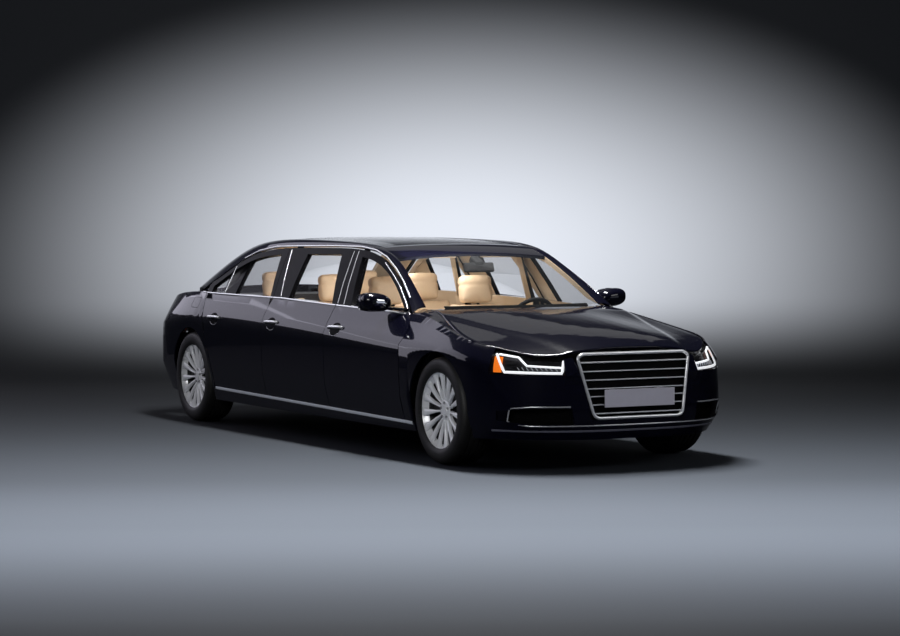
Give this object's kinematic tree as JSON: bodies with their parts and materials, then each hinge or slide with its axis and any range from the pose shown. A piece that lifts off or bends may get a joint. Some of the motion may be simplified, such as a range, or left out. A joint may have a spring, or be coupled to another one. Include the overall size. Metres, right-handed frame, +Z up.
{
  "type": "six-door stretch limousine",
  "caption": "Long three-row passenger saloon with side-hinged doors for each row, bonnet, boot lid, steered front wheels and glazed cabin.",
  "frame": {"origin": "on the road, under the middle of the car's length and width", "axes": "+X forward, +Y to the car's left, +Z up"},
  "size_m": [6.3547, 2.104, 1.4686],
  "materials": {
    "paint": "gloss",
    "glass_tint": "clear",
    "roof_black": "gloss",
    "chrome": "polished",
    "plate": "matte",
    "lamp_clear": "gloss",
    "lamp_red": "gloss",
    "black_plastic": "matte",
    "leather_beige": "soft",
    "steel": "bare",
    "alloy": "satin",
    "tyre": "matte",
    "iron": "bare"
  },
  "bodies": {
    "car_body": {"floor_pan": "steel", "front_structure": "steel", "rear_structure": "steel", "wheel_liners": "black_plastic", "pillars": "steel", "body_sides": "paint", "roof_panel": "paint", "roof_glass": "roof_black", "windscreen": "glass_tint", "rear_window": "glass_tint", "front_fenders": "paint", "rear_quarters": "paint", "front_bumper": "paint", "rear_bumper": "paint", "grille": "chrome", "number_plate": "plate", "headlamps": "lamp_clear", "tail_lamps": "lamp_red", "cowl": "black_plastic", "sill_trims": "paint", "door_hinges": "steel", "dashboard": "black_plastic", "console": "leather_beige", "seats_front": "leather_beige", "seats_middle": "leather_beige", "seats_rear": "leather_beige", "engine": "iron", "front_axle": "iron", "rear_axle": "iron", "exhaust": "steel"},
    "bonnet_body": {"bonnet": "paint"},
    "boot_body": {"boot_lid": "paint"},
    "door_fl_body": {"door_fl": "paint", "glass_fl": "glass_tint", "mirror_l": "paint"},
    "door_fr_body": {"door_fr": "paint", "glass_fr": "glass_tint", "mirror_r": "paint"},
    "door_ml_body": {"door_ml": "paint", "glass_ml": "glass_tint"},
    "door_mr_body": {"door_mr": "paint", "glass_mr": "glass_tint"},
    "door_rl_body": {"door_rl": "paint", "glass_rl": "glass_tint"},
    "door_rr_body": {"door_rr": "paint", "glass_rr": "glass_tint"},
    "knuckle_l_body": {"knuckle_l": "iron"},
    "knuckle_r_body": {"knuckle_r": "iron"},
    "wheel_fl": {"rim_fl": "alloy", "tyre_fl": "tyre"},
    "wheel_fr": {"rim_fr": "alloy", "tyre_fr": "tyre"},
    "wheel_rl": {"rim_rl": "alloy", "tyre_rl": "tyre"},
    "wheel_rr": {"rim_rr": "alloy", "tyre_rr": "tyre"},
    "steering_body": {"steering_wheel": "black_plastic"}
  },
  "joints": [
    {"name": "door_fl_hinge", "type": "hinge", "parent": "car_body", "child": "door_fl_body", "pos_m": [1.595, 0.944, 0.6], "axis": [0, 0, -1], "range_deg": [0, 65]},
    {"name": "door_fr_hinge", "type": "hinge", "parent": "car_body", "child": "door_fr_body", "pos_m": [1.595, -0.944, 0.6], "axis": [0, 0, 1], "range_deg": [0, 65]},
    {"name": "door_ml_hinge", "type": "hinge", "parent": "car_body", "child": "door_ml_body", "pos_m": [0.412, 0.944, 0.6], "axis": [0, 0, -1], "range_deg": [0, 65]},
    {"name": "door_mr_hinge", "type": "hinge", "parent": "car_body", "child": "door_mr_body", "pos_m": [0.412, -0.944, 0.6], "axis": [0, 0, 1], "range_deg": [0, 65]},
    {"name": "door_rl_hinge", "type": "hinge", "parent": "car_body", "child": "door_rl_body", "pos_m": [-0.678, 0.944, 0.6], "axis": [0, 0, -1], "range_deg": [0, 65]},
    {"name": "door_rr_hinge", "type": "hinge", "parent": "car_body", "child": "door_rr_body", "pos_m": [-0.678, -0.944, 0.6], "axis": [0, 0, 1], "range_deg": [0, 65]},
    {"name": "bonnet_hinge", "type": "hinge", "parent": "car_body", "child": "bonnet_body", "pos_m": [1.6, 0, 0.985], "axis": [0, -1, 0], "range_deg": [0, 50]},
    {"name": "boot_hinge", "type": "hinge", "parent": "car_body", "child": "boot_body", "pos_m": [-2.3, 0, 1.026], "axis": [0, 1, 0], "range_deg": [0, 70]},
    {"name": "steer_left", "type": "hinge", "parent": "car_body", "child": "knuckle_l_body", "pos_m": [2.194, 0.747, 0.356], "axis": [0, 0, 1], "range_deg": [-35, 35]},
    {"name": "steer_right", "type": "hinge", "parent": "car_body", "child": "knuckle_r_body", "pos_m": [2.194, -0.747, 0.356], "axis": [0, 0, 1], "range_deg": [-35, 35]},
    {"name": "wheel_fl_spin", "type": "hinge", "parent": "knuckle_l_body", "child": "wheel_fl", "pos_m": [2.194, 0.822, 0.356], "axis": [0, 1, 0], "continuous": true},
    {"name": "wheel_fr_spin", "type": "hinge", "parent": "knuckle_r_body", "child": "wheel_fr", "pos_m": [2.194, -0.822, 0.356], "axis": [0, 1, 0], "continuous": true},
    {"name": "wheel_rl_spin", "type": "hinge", "parent": "car_body", "child": "wheel_rl", "pos_m": [-2.026, 0.8175, 0.356], "axis": [0, 1, 0], "continuous": true},
    {"name": "wheel_rr_spin", "type": "hinge", "parent": "car_body", "child": "wheel_rr", "pos_m": [-2.026, -0.8175, 0.356], "axis": [0, 1, 0], "continuous": true},
    {"name": "steering_wheel_turn", "type": "hinge", "parent": "car_body", "child": "steering_body", "pos_m": [1.124, 0.37, 0.87], "axis": [-0.9063, 0, 0.4226], "range_deg": [-490, 490]}
  ],
  "couplings": [
    {"joint": "steer_right", "follows": "steer_left", "ratio": 1},
    {"joint": "steering_wheel_turn", "follows": "steer_left", "ratio": 14}
  ]
}
